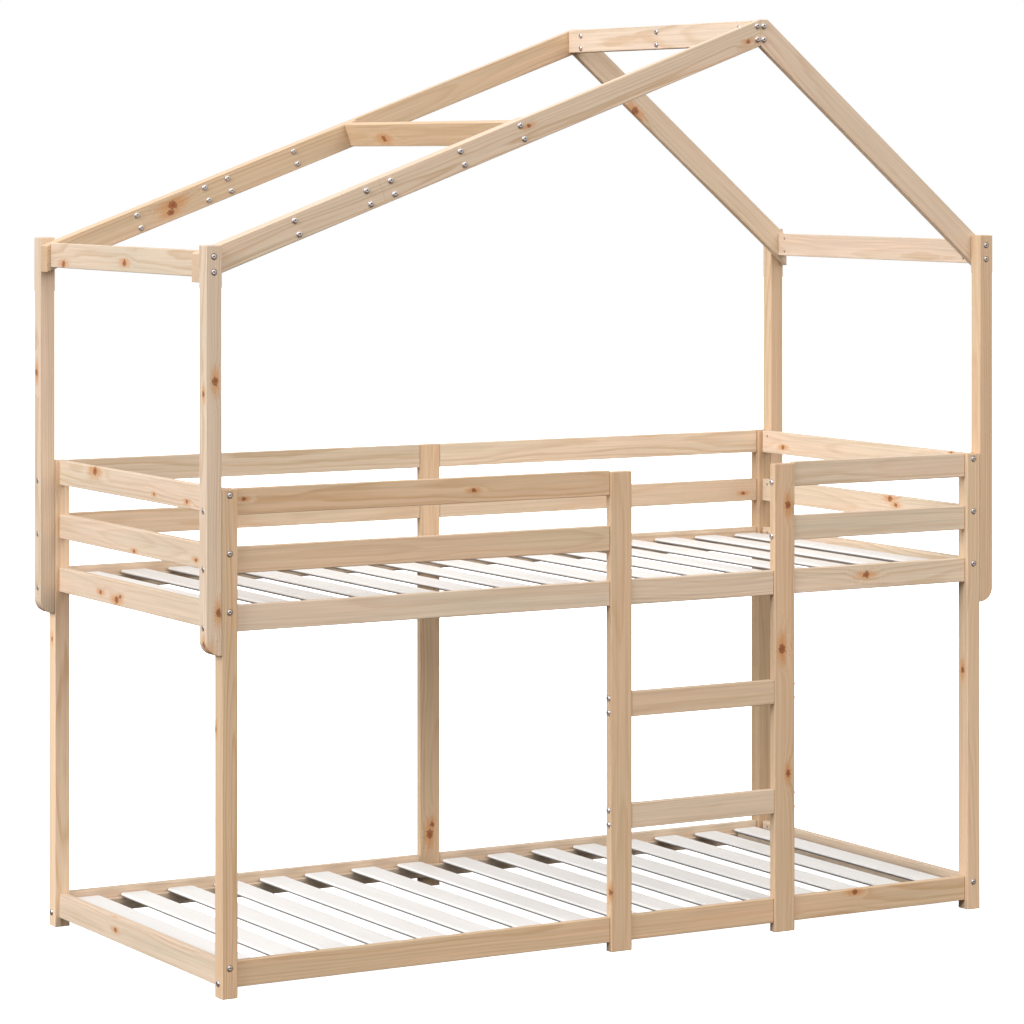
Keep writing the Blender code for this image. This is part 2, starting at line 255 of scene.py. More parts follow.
def mixed(tree, factor, first, second, blend="MIX"):
    """Two colours mixed, each from a socket or as three channels."""
    first, second = [colour if isinstance(colour, bpy.types.NodeSocket) else (*colour, 1)
                     for colour in (first, second)]
    return add(tree, "ShaderNodeMix", {"Factor": factor, 6: first, 7: second}, data_type="RGBA",
               blend_type=blend).outputs[2]


def scaled(tree, colour, factor):
    """A colour made lighter or darker."""
    inputs = {0: colour, "Scale": factor}
    return add(tree, "ShaderNodeVectorMath", inputs, operation="SCALE").outputs[0]


def knot_group():
    """A knot by its place in the grain and its radius: heart, dark rim, halo and bent grain."""
    tree = bpy.data.node_groups.new("Knot in pine", "ShaderNodeTree")
    for name in ("Grain", "Place"):
        tree.interface.new_socket(name, in_out="INPUT", socket_type="NodeSocketVector")
    for name in ("Radius", "Outline"):
        tree.interface.new_socket(name, in_out="INPUT", socket_type="NodeSocketFloat")
    for name in ("Heart", "Rim", "Halo", "Bend"):
        tree.interface.new_socket(name, in_out="OUTPUT", socket_type="NodeSocketFloat")
    grain, place, radius, wobble = add(tree, "NodeGroupInput").outputs[:4]
    away = vector_maths(tree, "SUBTRACT", grain, place)

    def distance(squeeze, rough):
        """Distance from the knot in radii, with the lengthwise part squeezed."""
        shape = vector_maths(tree, "MULTIPLY", away, (squeeze, 1, 1))
        far = vector_maths(tree, "LENGTH", shape, output="Value")
        return maths(tree, "MULTIPLY", maths(tree, "DIVIDE", far, radius), rough)

    near = distance(0.8, wobble)
    far = distance(0.35, maths(tree, "MULTIPLY_ADD", wobble, 0.6, 0.4))
    heart = ramped(tree, near, 0.95, 0.35, shape="SMOOTHSTEP")
    edge = maths(tree, "ABSOLUTE", maths(tree, "SUBTRACT", near, 0.8))
    rim = ramped(tree, edge, 0.28, 0.0, shape="SMOOTHSTEP")
    halo = ramped(tree, far, 2.2, 0.5, shape="SMOOTHSTEP")
    bulge = ramped(tree, far, 3.6, 0.0, shape="SMOOTHSTEP")
    bend = maths(tree, "MULTIPLY", bulge, radius)
    add(tree, "NodeGroupOutput", {"Heart": heart, "Rim": rim, "Halo": halo, "Bend": bend})
    return tree


def board_knots(tree, grain):
    """The strongest heart, rim, halo and bend of a board's knots at each point."""
    group = knot_group()
    # ragged outlines, in lobes of about 5 mm
    outline = maths(tree, "MULTIPLY_ADD", noise(tree, grain, 190.0, 1.5), 1.5, 0.3)
    sizes = []
    for name in ("knot_size", "knot_size_more"):
        sizes += add(tree, "ShaderNodeSeparateXYZ", {0: attribute(tree, name)}).outputs[:]
    strongest = {}
    for letter, size in zip(KNOT_LETTERS, sizes):
        place = attribute(tree, "knot_" + letter)
        knot = add(tree, "ShaderNodeGroup", {"Grain": grain, "Place": place, "Radius": size,
                                             "Outline": outline}, node_tree=group)
        for name in ("Heart", "Rim", "Halo", "Bend"):
            value = knot.outputs[name]
            if name in strongest:
                value = maths(tree, "MAXIMUM", strongest[name], value)
            strongest[name] = value
    return strongest.values()


def growth_rings(tree, grain, bend, ring_width):
    """Dark lines at the ends of the growth rings, from 0 to 1."""
    # the tree's heart wanders by a centimetre or two over a metre, which draws the long arcs
    drift = noise(tree, grain, 1.0, 1.5, (1.3, 0.4, 0.4), output=1)
    drift = vector_maths(tree, "SUBTRACT", drift, (0.5, 0.5, 0.5))
    drift = vector_maths(tree, "MULTIPLY", drift, (0.0, 0.05, 0.05))
    bent = vector_maths(tree, "ADD", grain, drift)
    flat = vector_maths(tree, "MULTIPLY", bent, (0.0, 1.0, 1.0))
    radius = vector_maths(tree, "LENGTH", flat, output="Value")
    wave = noise(tree, grain, 1.0, 2.0, (6.0, 40.0, 40.0))
    radius = maths(tree, "ADD", maths(tree, "MULTIPLY_ADD", wave, 0.006, radius), bend)
    rings = maths(tree, "DIVIDE", radius, ring_width)
    profile = add(tree, "ShaderNodeValToRGB", {"Fac": maths(tree, "FRACT", rings)})
    ramp = profile.color_ramp
    ramp.interpolation = "EASE"
    ramp.elements[0].color = (0, 0, 0, 1)
    ramp.elements[1].position = 0.80
    ramp.elements[1].color = (1, 1, 1, 1)
    ramp.elements.new(0.35).color = (0.12, 0.12, 0.12, 1)
    ramp.elements.new(1.0).color = (0, 0, 0, 1)
    # some rings are strong and some hardly show
    vary = add(tree, "ShaderNodeTexNoise", {"W": maths(tree, "MULTIPLY", rings, 0.37), "Scale": 1.0,
                                            "Detail": 1.0}, noise_dimensions="1D").outputs[0]
    return maths(tree, "MULTIPLY", profile.outputs[0], ramped(tree, vary, 0.35, 0.68, 0.12, 0.85))


def planed_pine(settings):
    """Planed pine under a clear matt finish: soft rings along the board, fine fibres, red knots."""
    mat, tree, shader = start_material("Planed pine")
    grain = attribute(tree, "grain")
    heart, rim, halo, bend = board_knots(tree, grain)
    line = growth_rings(tree, grain, bend, settings.ring)
    # fibres: streaks about 4 mm wide, drawn coarser than real so that they show, and fine ones
    streak = noise(tree, grain, 1.0, 3.0, (3.0, 240.0, 240.0))
    fibre = noise(tree, grain, 1.0, 2.0, (14.0, 1400.0, 1400.0))
    colour = mixed(tree, line, settings.early_wood, settings.late_wood)
    # cloudy patches a few centimetres long, faintly pink or grey
    blotch = noise(tree, grain, 1.0, 2.0, (1.6, 16.0, 16.0))
    tint = mixed(tree, ramped(tree, blotch, 0.3, 0.7), (1.05, 0.99, 0.97), (0.95, 0.965, 0.945))
    colour = mixed(tree, 1.0, colour, tint, "MULTIPLY")
    shade = maths(tree, "MULTIPLY", ramped(tree, streak, 0.25, 0.75, 0.88, 1.10),
                  ramped(tree, fibre, 0.2, 0.8, 0.95, 1.05))
    colour = scaled(tree, colour, shade)
    # an amber halo, the red heart and its dark rim, and end grain darker than the faces
    end = attribute(tree, "end_grain", "Fac")
    for part, amount, tinge in ((halo, 0.7, linear("#CE9055")), (heart, 0.95, settings.knot_wood),
                                (rim, 0.7, linear("#5E3018")), (end, 0.45, linear("#C9A47C"))):
        colour = mixed(tree, maths(tree, "MULTIPLY", part, amount), colour, tinge)
    # each board's tone, which on the back middle post also holds painted shade
    colour = mixed(tree, 1.0, colour, attribute(tree, "tone"), "MULTIPLY")
    tree.links.new(colour, shader.inputs["Base Color"])
    rough = ramped(tree, fibre, 0.0, 1.0, settings.roughness - 0.05, settings.roughness + 0.07)
    tree.links.new(rough, shader.inputs["Roughness"])
    bump = add(tree, "ShaderNodeBump", {"Height": maths(tree, "MULTIPLY_ADD", line, -0.5, fibre),
                                        "Strength": 0.35, "Distance": 0.0003})
    tree.links.new(bump.outputs[0], shader.inputs["Normal"])
    shader.inputs["IOR"].default_value = 1.45
    return mat


def slat_paint(settings):
    """White paint rolled on pine slats: matt, with a little of the grain standing through."""
    mat, tree, shader = start_material("White painted slats")
    grain = attribute(tree, "grain")
    fibre = noise(tree, grain, 1.0, 3.0, (8.0, 320.0, 320.0))
    cloud = noise(tree, grain, 1.0, 2.0, (3.0, 30.0, 30.0))
    cover = maths(tree, "MULTIPLY", ramped(tree, cloud, 0.3, 0.7, 0.965, 1.0),
                  ramped(tree, fibre, 0.3, 0.6, 0.965, 1.0))
    colour = scaled(tree, settings.paint, cover)
    # painted shade: edges and undersides are darker, which draws a grey line along each slat
    colour = mixed(tree, attribute(tree, "shaded", "Fac"), colour, linear("#8E867C"))
    tree.links.new(colour, shader.inputs["Base Color"])
    bump = add(tree, "ShaderNodeBump", {"Height": fibre, "Strength": 0.25, "Distance": 0.0003})
    tree.links.new(bump.outputs[0], shader.inputs["Normal"])
    shader.inputs["Roughness"].default_value = 0.55
    return mat


def zinc_steel():
    """Zinc-plated steel: bright, slightly cloudy."""
    mat, tree, shader = start_material("Zinc-plated steel")
    place = add(tree, "ShaderNodeTexCoord").outputs["Object"]
    cloud = noise(tree, place, 700.0, 2.0)
    tree.links.new(ramped(tree, cloud, 0.0, 1.0, 0.36, 0.48), shader.inputs["Roughness"])
    tint = mixed(tree, cloud, linear("#D8D1CD"), linear("#C8C1BE"))
    tree.links.new(tint, shader.inputs["Base Color"])
    shader.inputs["Metallic"].default_value = 1.0
    return mat


def nut_steel_with_painted_shade():
    """Steel of the barrel nuts, painted nearly black as painted shade inside their holes, with a
    dull sheen.
    """
    mat, _, shader = start_material("Nut steel darkened as painted shade")
    shader.inputs["Base Color"].default_value = (*linear("#4A403A"), 1)
    shader.inputs["Metallic"].default_value = 1.0
    shader.inputs["Roughness"].default_value = 0.5
    return mat


def finish_for(name, maker, *args):
    """A material by name, made the first time it is asked for."""
    return bpy.data.materials.get(name) or maker(*args)


# ---- making pieces ------------------------------------------------------------------------------
HONEY = (0.05, 0.15, 0.28)  # red, green and blue that honey-coloured wood takes away
LET_OUT = 2                 # metres a knot is moved out of its board so that it doesn't show
CUTTER_ABOVE = 0.004        # how far a cutter starts above the face
SEAT_PLAY = 0.0012          # a head's seat is this much wider than the head
NUT_HOLE = 0.013            # depth of a barrel nut's hole


def mesh_of(name, body):
    """A mesh from a bmesh, which is used up."""
    mesh = bpy.data.meshes.new(name)
    body.to_mesh(mesh)
    body.free()
    return mesh


def join(body, mesh):
    """Add a mesh to a bmesh; gives the points that came with it."""
    before = len(body.verts)
    body.from_mesh(mesh)
    body.verts.ensure_lookup_table()
    return body.verts[before:]


def block(size):
    """A box round the origin."""
    body = bmesh.new()
    bmesh.ops.create_cube(body, size=1.0)
    bmesh.ops.scale(body, vec=size, verts=body.verts)
    return body


def round_off(body, edges, offset, segments):
    """Round some edges; one segment makes a flat chamfer."""
    bmesh.ops.bevel(body, geom=edges, offset=offset, offset_type="OFFSET", segments=segments,
                    profile=0.5, affect="EDGES", material=-1)


def new_piece(name, body, mat, replaces=()):
    """An object from a bmesh, which rides on the bed."""
    mesh = mesh_of(name, body)
    mesh.materials.append(mat)
    obj = bpy.data.objects.new(name, mesh)
    bpy.context.scene.collection.objects.link(obj)
    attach(obj, "root")
    if replaces:
        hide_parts(*replaces)
    return obj


def length_way(body):
    """Unit directions along a board, across its width and through its thickness."""
    longest = max(body.edges, key=lambda e: e.calc_length())
    along = (longest.verts[1].co - longest.verts[0].co).normalized()
    if along.x + along.y + along.z < 0:
        along.negate()
    side = Vector((0, 1, 0)) if abs(along.y) < 0.5 else Vector((1, 0, 0))
    if abs(along.y) > 0.5:
        square = [e for e in body.edges
                  if abs((e.verts[1].co - e.verts[0].co).normalized().dot(along)) < 0.1]
        widest = max(square, key=lambda e: e.calc_length())
        side = (widest.verts[1].co - widest.verts[0].co).normalized()
    other = along.cross(side).normalized()
    spans = []
    for way in (side, other):
        heights = [v.co.dot(way) for v in body.verts]
        spans.append((max(heights) - min(heights), way))
    spans.sort(key=lambda s: -s[0])
    return along, spans[0][1], spans[1][1]


def grain_data(body, name):
    """Where each point lies in the tree, the board's tone and its knots."""
    along, across, through = length_way(body)
    dice = random.Random(name)
    middle = Vector()
    for way in (along, across, through):
        heights = [v.co.dot(way) for v in body.verts]
        middle += way * (max(heights) + min(heights)) / 2
    start = dice.uniform(5, 60)
    side = dice.choice((-1, 1))
    heart = Vector((0, dice.uniform(-0.035, 0.035), side * dice.uniform(0.03, 0.10)))

    def place(point):
        """A point in the board as a place in the tree: along it, and from its heart."""
        local = point - middle
        return Vector((local.dot(along) + start, local.dot(across) - heart.y,
                       local.dot(through) - heart.z))

    starts = [start for start in TONES_AND_SHADE if name.startswith(start)]
    warm, light = TONES_AND_SHADE[max(starts, key=len)] if starts else (dice.uniform(0, 0.2), 1.0)
    light *= dice.uniform(0.985, 1.015)
    tone = Vector([1 - part * warm for part in HONEY]) * light
    knots = list(KNOTS.get(name, ()))
    # knots on the back and right-hand faces fall where they may
    half_width, half_depth, half_length = [
        max(v.co.dot(way) for v in body.verts) - middle.dot(way)
        for way in (across, through, along)]
    outward = through if through.x + through.y > 0 else -through
    unseen = len(knots) + dice.randint(1, 2)
    while len(knots) < len(KNOT_LETTERS):
        spot = middle + outward * half_depth + across * dice.uniform(-0.7, 0.7) * half_width
        spot += along * dice.uniform(-0.85, 0.85) * half_length
        if len(knots) >= unseen:
            spot += outward * LET_OUT
        knots.append((*spot, dice.uniform(0.002, 0.007)))
    grain = body.verts.layers.float_vector.new("grain")
    toned = body.verts.layers.float_vector.new("tone")
    sized = body.verts.layers.float_vector.new("knot_size")
    more = body.verts.layers.float_vector.new("knot_size_more")
    layers = [body.verts.layers.float_vector.new("knot_" + letter) for letter in KNOT_LETTERS]
    places = [place(Vector(knot[:3])) for knot in knots]
    sizes = [knot[3] for knot in knots]
    for vert in body.verts:
        vert[grain] = place(vert.co)
        vert[toned] = tone
        vert[sized] = Vector(sizes[:3])
        vert[more] = Vector(sizes[3:6])
        for layer, spot in zip(layers, places):
            vert[layer] = spot
    ends = body.faces.layers.float.new("end_grain")
    for face in body.faces:
        face[ends] = 1.0 if abs(face.normal.dot(along)) > 0.6 else 0.0


def cad_copy(node):
    """A copy of a CAD node's shape as whole faces."""
    body = bmesh.new()
    body.from_mesh(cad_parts[node].data)
    bmesh.ops.remove_doubles(body, verts=body.verts, dist=2e-5)
    bmesh.ops.dissolve_limit(body, angle_limit=math.radians(1), verts=body.verts, edges=body.edges)
    bmesh.ops.recalc_face_normals(body, faces=body.faces)
    return body


def drill(body, holes, diameter, depth):
    """Holes into a board: each is a point on its surface and the way in."""
    cutter = bmesh.new()
    for point, inward in holes:
        turn = inward.to_track_quat("Z", "Y").to_matrix().to_4x4()
        place = Matrix.Translation(point + inward * (depth / 2 - CUTTER_ABOVE / 2)) @ turn
        bmesh.ops.create_cone(cutter, cap_ends=True, segments=20, radius1=diameter / 2,
                              radius2=diameter / 2, depth=depth + CUTTER_ABOVE, matrix=place)
    meshes = [mesh_of("drilling", part) for part in (body, cutter)]
    objects = [bpy.data.objects.new("drilling", mesh) for mesh in meshes]
    for obj in objects:
        bpy.context.scene.collection.objects.link(obj)
    boolean = objects[0].modifiers.new("Holes", "BOOLEAN")
    boolean.operation = "DIFFERENCE"
    boolean.solver = "EXACT"
    boolean.object = objects[1]
    bpy.context.view_layer.update()
    drilled = bpy.data.meshes.new_from_object(
        objects[0].evaluated_get(bpy.context.evaluated_depsgraph_get()))
    result = bmesh.new()
    result.from_mesh(drilled)
    for obj in objects:
        bpy.data.objects.remove(obj, do_unlink=True)
    for mesh in (*meshes, drilled):
        bpy.data.meshes.remove(mesh)
    return result


def board(node, mat, bolts, heads=(), nuts=()):
    """A pine board in the shape of its CAD node, with its grain, bolt seats and nut holes."""
    body = cad_copy(node)
    if "short_rafter" in node:
        square_end(body, Vector((-1, 0, 0)), Vector((-1, 0, 0)))
    seats = [(point, -out) for point, out in heads if let_in(point, out, bolts.height)]
    if seats:
        body = drill(body, seats, bolts.head + SEAT_PLAY, bolts.height)
    if nuts:
        body = drill(body, nuts, bolts.barrel, NUT_HOLE)
    return finish_board(node + "_board", body, mat, node, (node,))


def let_in(point, out, height):
    """How deep a head lies in its board: flush on the outermost faces, else standing proud."""
    tip = point + out * height
    low, high = FRAME_BOX
    past = max(max(low[i] - tip[i], tip[i] - high[i]) for i in range(3))
    return height if past > 1e-5 else 0.0


def square_end(body, way, slide):
    """Take the rounding off one end of a board, so that it butts tight against the next."""
    back = 0.0025               # just behind the rounding
    point = max((v.co for v in body.verts), key=lambda co: co.dot(way)).copy()
    bmesh.ops.bisect_plane(body, geom=body.verts[:] + body.edges[:] + body.faces[:],
                           plane_co=point - way * back, plane_no=way, clear_outer=True)
    rim = [e for e in body.edges if e.is_boundary]
    bmesh.ops.contextual_create(body, geom=rim)
    ring = {v for e in rim for v in e.verts}
    bmesh.ops.translate(body, vec=slide * (back / slide.dot(way)), verts=list(ring))


def outer_boards(side, mat):
    """The two outer boards of a long rafter, tight end to end, with the grain running through."""
    body = bmesh.new()
    for half, sign in (("lower", 1), ("upper", -1)):
        one = cad_copy(f"{side}_long_rafter_{half}")
        along, _, _ = length_way(one)
        square_end(one, along * sign, along * sign)
        if half == "upper":
            square_end(one, Vector((1, 0, 0)), along)
        mesh = mesh_of("half", one)
        join(body, mesh)
        bpy.data.meshes.remove(mesh)
    name = side + "_long_rafter"
    return finish_board(name + "_boards", body, mat, name, (name + "_lower", name + "_upper"))


def finish_board(name, body, mat, seed, replaces=()):
    """Give a board its grain and smooth its rounded edges."""
    grain_data(body, seed)
    for face in body.faces:
        face.smooth = True
    obj = new_piece(name, body, mat, replaces)
    obj.data.set_sharp_from_angle(angle=math.radians(60))
    weighted = obj.modifiers.new("Flat faces stay flat", "WEIGHTED_NORMAL")
    weighted.weight = 90
    weighted.keep_sharp = True
    return obj


def middle_of(node):
    """The middle of a CAD node."""
    low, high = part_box(node)
    return (low + high) / 2


# ---- where bolts and nuts go --------------------------------------------------------------------
LEVELS = ("lower_rail", "upper_rail", "mid_guard", "top_guard")
BOLT_ABOVE = 0.015          # bolts along the width, above the middle of a rail
BOLT_BELOW = 0.018          # bolts along the length, below it
NUT_SETBACK = 0.028         # barrel nuts from the end of a rail
END_NUT_SETBACK = 0.022     # the same in the rails across the ends
PAIR = 0.0165               # half the spacing of two bolts in one joint
RAFTER_PAIR = 0.0162        # the same in a rafter
RIDGE_PAIR = 0.016          # the same through a ridge board
POST_BOLTS = (0.0250, 0.0588)   # bolts through post, rafter and tie, below the post's top
HALF_RAFTER = 0.030         # from a rafter's edge to its centre line
SPLICE_BOLTS = (-0.2107, -0.0306, 0.0306, 0.2107)   # X of pairs, from their common middle
SPLICE_MIDDLE = 0.0140      # that middle, left of the lower board's end
PURLIN_SHIFT = 0.005        # the purlin's bolts, up the rafter from its middle
RIDGE_BOLTS = (-0.376, -0.004, 0.359)   # Y of the pairs in a ridge board's face
RIDGE_DROP = 0.002          # their middle, below the board's
NUT_PLAY = 0.0004           # between a nut and its hole all round
NUT_LENGTH = 0.006          # how much of a nut is drawn
NUT_DEPTH = 0.003           # how deep its end lies in the hole


def side_rails():
    """The rails and guards along the front and the back."""
    kinds = [level.replace("_rail", "") for level in LEVELS]
    starts = tuple(side + kind for side in ("front_", "back_") for kind in kinds)
    return [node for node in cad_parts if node.startswith(starts)]


def end_rails():
    """The rails across both ends."""
    return [f"{side}_end_{level}" for side in ("left", "right") for level in LEVELS]


def rail_nut_holes():
    """Nut holes in the rear of side rails and the inside of end rails: board to (point, way in)."""
    holes = {}
    for node in side_rails():
        low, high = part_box(node)
        z = (low.z + high.z) / 2 - BOLT_BELOW
        way = Vector((0, -1, 0))
        ends = (low.x + NUT_SETBACK, high.x - NUT_SETBACK)
        holes[node] = [(Vector((x, high.y, z)), way) for x in ends]
    for node in end_rails():
        low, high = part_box(node)
        z = (low.z + high.z) / 2 + BOLT_ABOVE
        inner = high.x if high.x < 0 else low.x
        way = Vector((-1 if inner < 0 else 1, 0, 0))
        ends = (low.y + END_NUT_SETBACK, high.y - END_NUT_SETBACK)
        holes[node] = [(Vector((inner, y, z)), way) for y in ends]
    return holes


def rung_nut_holes():
    """Two nuts at each end of a rung, in its back."""
    holes = {}
    for node in ("ladder_rung_1", "ladder_rung_2"):
        low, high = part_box(node)
        z = (low.z + high.z) / 2
        holes[node] = [(Vector((x, high.y, z + step)), Vector((0, -1, 0)))
                       for x in (low.x + NUT_SETBACK, high.x - NUT_SETBACK)
                       for step in (-PAIR, PAIR)]
    return holes


def tie_nut_holes():
    """Two nuts at each end of an eaves tie, in its inner face."""
    holes = {}
    for node, way in (("left_eaves_tie", -1), ("right_eaves_tie", 1)):
        low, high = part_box(node)
        x = high.x if way < 0 else low.x
        holes[node] = [(Vector((x, y, z)), Vector((way, 0, 0)))
                       for y in (low.y + NUT_SETBACK, high.y - NUT_SETBACK)
                       for z in post_bolt_heights()]
    return holes


def post_bolt_heights():
    """Heights of the two bolts through a roof post, rafter and tie."""
    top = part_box("roof_post_front_left")[1].z
    return [top - below for below in POST_BOLTS]


def leg_bolts():
    """Heads in the faces of legs and roof posts: board to (point, way out)."""
    heads = {}
    levels = [middle_of("left_end_" + level).z for level in LEVELS]
    for node in [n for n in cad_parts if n.startswith("leg_")]:
        low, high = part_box(node)
        front, left = low.y < 0, low.x < 0
        post = "roof_post_" + node[4:]
        post_low, post_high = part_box(post)
        ahead, sideways = Vector((0, -1 if front else 1, 0)), Vector((-1 if left else 1, 0, 0))
        x, y = (low.x + high.x) / 2, low.y if front else high.y
        heads[node] = [(Vector((x, y, z + BOLT_ABOVE)), ahead) for z in levels]
        side_y = middle_of("front_lower_rail_left" if front else "back_lower_rail_left").y
        x = low.x if left else high.x
        heads[node].append((Vector((x, side_y, levels[0] - BOLT_BELOW)), sideways))
        x = post_low.x if left else post_high.x
        heads[post] = [(Vector((x, side_y, z - BOLT_BELOW)), sideways) for z in levels[1:]]
        x, y = (post_low.x + post_high.x) / 2, post_low.y if front else post_high.y
        heads[post] += [(Vector((x, y, z)), ahead) for z in post_bolt_heights()]
    return heads


def ladder_bolts():
    """Heads in the sides of the ladder uprights, for rungs and guards."""
    heads = {"ladder_upright_left": [], "ladder_upright_right": []}
    left_low, left_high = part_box("ladder_upright_left")
    right_low, right_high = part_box("ladder_upright_right")
    left, right = heads.values()
    for rung in ("ladder_rung_1", "ladder_rung_2"):
        middle = middle_of(rung)
        for step in (-PAIR, PAIR):
            left.append((Vector((left_low.x, middle.y, middle.z + step)), Vector((-1, 0, 0))))
            right.append((Vector((right_high.x, middle.y, middle.z + step)), Vector((1, 0, 0))))
    for level in LEVELS[2:]:
        middle = middle_of("front_" + level + "_left")
        z = middle.z - BOLT_BELOW
        left.append((Vector((left_high.x, middle.y, z)), Vector((1, 0, 0))))
        right.append((Vector((right_low.x, middle.y, z)), Vector((-1, 0, 0))))
    return heads


def rafter_way():
    """A point on the long rafters' centre line, and its directions along and across."""
    body = cad_copy("front_long_rafter_lower")
    along, across, _ = length_way(body)
    body.free()
    if across.z < 0:
        across.negate()
    _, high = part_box("front_long_rafter_upper")
    end = Vector((high.x, 0, high.z)) - Vector((0, 0, 1)) * (HALF_RAFTER / across.z)
    return end, along, across


def roof_bolts():
    """Heads in the rafters and ridge boards."""
    heads = {}
    end, along, across = rafter_way()

    def pair(node, centre, way, y, step=RAFTER_PAIR, ways=across):
        """Two heads in a board's face, one above the other."""
        for sign in (-1, 1):
            point = centre + ways * step * sign
            heads.setdefault(node, []).append((Vector((point.x, y, point.z)), Vector((0, way, 0))))

    upright = Vector((0, 0, 1))
    for side, sign in (("front", -1), ("back", 1)):
        rafter, splice = side + "_long_rafter", side + "_rafter_splice"
        low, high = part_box(rafter + "_upper")
        outer = low.y if sign < 0 else high.y
        low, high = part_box(splice)
        inner = high.y if sign < 0 else low.y
        middle_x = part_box(rafter + "_lower")[1].x - SPLICE_MIDDLE
        for dx in SPLICE_BOLTS:
            centre = end + along * ((middle_x + dx - end.x) / along.x)
            pair(rafter, centre, sign, outer)
            pair(splice, centre, -sign, inner)
        pair(rafter, middle_of("purlin") + along * PURLIN_SHIFT, sign, outer)
        for node, ridge in ((rafter, "left"), (side + "_short_rafter", "right")):
            pair(node, middle_of("ridge_board_" + ridge), sign, outer, RIDGE_PAIR, upright)
    for node, sign in (("ridge_board_left", -1), ("ridge_board_right", 1)):
        low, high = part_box(node)
        x = low.x if sign < 0 else high.x
        z = (low.z + high.z) / 2 - RIDGE_DROP
        heads[node] = [(Vector((x, y, z + step)), Vector((sign, 0, 0)))
                       for y in RIDGE_BOLTS for step in (-RIDGE_PAIR, RIDGE_PAIR)]
    return heads


def button_head(settings):
    """One button head with a hexagon socket, standing on the XY plane."""
    body = bmesh.new()
    radius, height = settings.head / 2, settings.height
    socket = settings.socket / math.sqrt(3)
    # from the floor of the socket over the dome to the foot: distance out, part of the height
    profile = ((0, 0.15), (socket, 0.15), (socket, 0.97), (socket * 1.12, 1.0),
               (radius * 0.62, 0.95), (radius * 0.82, 0.82), (radius * 0.95, 0.62),
               (radius, 0.40), (radius, 0.0), (0, 0.0))
    chain = [body.verts.new((r, 0, z * height)) for r, z in profile]
    edges = [body.edges.new(pair) for pair in zip(chain, chain[1:])]
    bmesh.ops.spin(body, geom=chain + edges, cent=(0, 0, 0), axis=(0, 0, 1), angle=math.tau,
                   steps=24, use_merge=True)
    bmesh.ops.remove_doubles(body, verts=body.verts, dist=1e-6)
    # the round socket becomes a hexagon
    for vert in body.verts:
        away = math.hypot(vert.co.x, vert.co.y)
        if socket * 0.9 < away < socket * 1.2 and vert.co.z > height * 0.3:
            turn = math.atan2(vert.co.y, vert.co.x) % (math.pi / 3) - math.pi / 6
            factor = math.cos(math.pi / 6) / math.cos(turn)
            vert.co.x *= factor
            vert.co.y *= factor
    bmesh.ops.recalc_face_normals(body, faces=body.faces)
    return mesh_of("button_head", body)


def barrel_nut(settings):
    """The end of a barrel nut: a steel rod, chamfered, with its face at the XY plane."""
    body = bmesh.new()
    radius = settings.barrel / 2 - NUT_PLAY
    bmesh.ops.create_cone(body, cap_ends=True, segments=20, radius1=radius, radius2=radius,
                          depth=NUT_LENGTH, matrix=Matrix.Translation((0, 0, -NUT_LENGTH / 2)))
    rim = [e for e in body.edges if all(v.co.z > -0.001 for v in e.verts)]
    round_off(body, rim, 0.0006, 1)
    return mesh_of("barrel_nut", body)


def hardware(name, mesh, places, mat, seed):
    """Copies of a small part as one piece, each facing the way it is given."""
    body = bmesh.new()
    dice = random.Random(seed)
    for point, way in places:
        added = join(body, mesh)
        turn = way.to_track_quat("Z", "Y").to_matrix().to_4x4()
        spin = Matrix.Rotation(dice.uniform(0, math.tau), 4, "Z")
        bmesh.ops.transform(body, matrix=Matrix.Translation(point) @ turn @ spin, verts=added)
    for face in body.faces:
        face.smooth = True
    obj = new_piece(name, body, mat)
    obj.data.set_sharp_from_angle(angle=math.radians(35))
    return obj


# ---- operators ----------------------------------------------------------------------------------
class BED_OT_posts(bpy.types.Operator):
    """Legs, roof posts, ladder uprights and the back middle post"""
    bl_idname = "bunk_bed.posts"
    bl_label = "Legs and posts"

    def execute(self, context):
        pine = finish_for("Planed pine", planed_pine, context.scene.bed_pine)
        heads = {**leg_bolts(), **ladder_bolts()}
        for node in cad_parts:
            if node.startswith(("leg_", "roof_post_", "ladder_upright_", "back_middle_post")):
                board(node, pine, context.scene.bed_bolts, heads.get(node, ()))
        return {"FINISHED"}


class BED_OT_rails(bpy.types.Operator):
    """Rails, guards and rungs, with the nut holes in them"""
    bl_idname = "bunk_bed.rails"
    bl_label = "Rails, guards and rungs"

    def execute(self, context):
        pine = finish_for("Planed pine", planed_pine, context.scene.bed_pine)
        for node, holes in {**rail_nut_holes(), **rung_nut_holes()}.items():
            board(node, pine, context.scene.bed_bolts, nuts=holes)
        return {"FINISHED"}


class BED_OT_roof(bpy.types.Operator):
    """Rafters in their two layers, ridge boards, eaves ties and the purlin"""
    bl_idname = "bunk_bed.roof"
    bl_label = "Roof frame"

    def execute(self, context):
        pine = finish_for("Planed pine", planed_pine, context.scene.bed_pine)
        heads, nuts = roof_bolts(), tie_nut_holes()
        bolts = context.scene.bed_bolts
        for side in ("front", "back"):
            outer_boards(side, pine)
        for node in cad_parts:
            if ("splice" in node or "short_rafter" in node or node.startswith("ridge_board")
                    or node in nuts or node == "purlin"):
                board(node, pine, bolts, heads.get(node, ()), nuts.get(node, ()))
        return {"FINISHED"}


